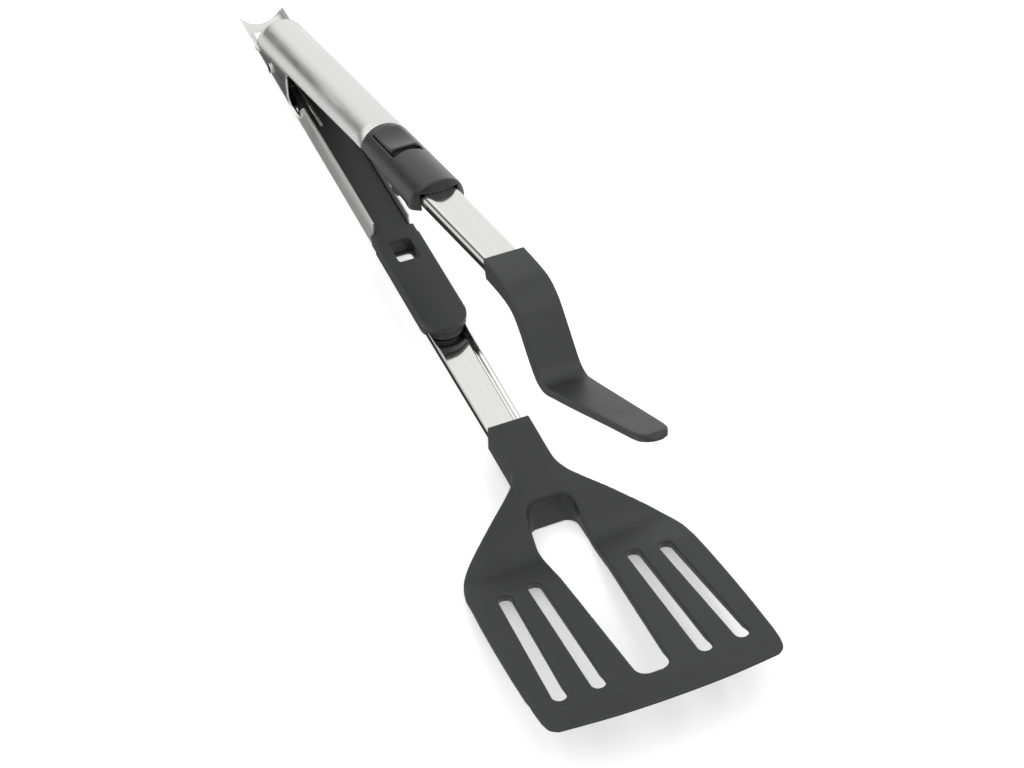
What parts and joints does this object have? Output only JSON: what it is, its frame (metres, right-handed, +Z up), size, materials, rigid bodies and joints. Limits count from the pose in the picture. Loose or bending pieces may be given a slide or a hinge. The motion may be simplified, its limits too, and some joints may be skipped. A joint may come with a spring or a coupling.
{
  "type": "spring loaded kitchen tongs",
  "caption": "Spring loaded kitchen tongs: a steel tube handle with thumb lock and cranked gripping finger, hinged over a lower arm with a broad slotted turner blade",
  "frame": {"origin": "middle of the tongs' bounding box at table height, with the tail and the turner's heel resting on the table", "axes": "+X runs from the hanging tail to the turner's front edge, +Y across the tongs, +Z up"},
  "size_m": [0.4676, 0.1, 0.1431],
  "materials": {
    "tube_steel": "long fine brushed grain, soft satin",
    "channel_steel": "brushed sheet",
    "bright_steel": "mirror polished sheet",
    "spring_steel": "drawn wire",
    "black_nylon": "satin moulded nylon with a faint grain",
    "black_gloss": "semi-gloss moulded plastic",
    "washer_nylon": "natural nylon",
    "bronze": "sintered bronze"
  },
  "bodies": {
    "handle": {"handle_shell": "tube_steel", "end_plug": "black_nylon", "hinge_pin": "bright_steel", "spacer_left": "washer_nylon", "spacer_right": "washer_nylon", "torsion_spring": "spring_steel", "lock_cap": "black_gloss", "cap_screw_rear": "bright_steel", "cap_screw_front": "bright_steel", "detent_spring": "spring_steel", "upper_channel": "bright_steel", "gripper_finger": "black_nylon"},
    "lower_arm": {"lower_channel": "channel_steel", "arm_liner": "black_nylon", "catch_plate": "bright_steel", "turner_shank": "bright_steel", "turner_head": "black_nylon", "spring_leg": "spring_steel", "liner_rivet": "bright_steel", "pad_rivet_rear": "bright_steel", "pad_rivet_front": "bright_steel", "bush_left": "bronze", "bush_right": "bronze"},
    "lock": {"slide_button": "black_gloss", "latch_hook": "black_nylon", "hook_screw": "bright_steel"}
  },
  "joints": [
    {"name": "arm_hinge", "type": "hinge", "parent": "handle", "child": "lower_arm", "pos_m": [-0.18206, 0, 0.01522], "axis": [0, -1, 0], "range_deg": [0, 16.2], "stiffness_Nm_per_rad": 0.8, "springref_deg": -34.38},
    {"name": "lock_slide", "type": "slide", "parent": "handle", "child": "lock", "axis": [0.9505, 0, 0.3107], "range_m": [0, 0.004]}
  ]
}
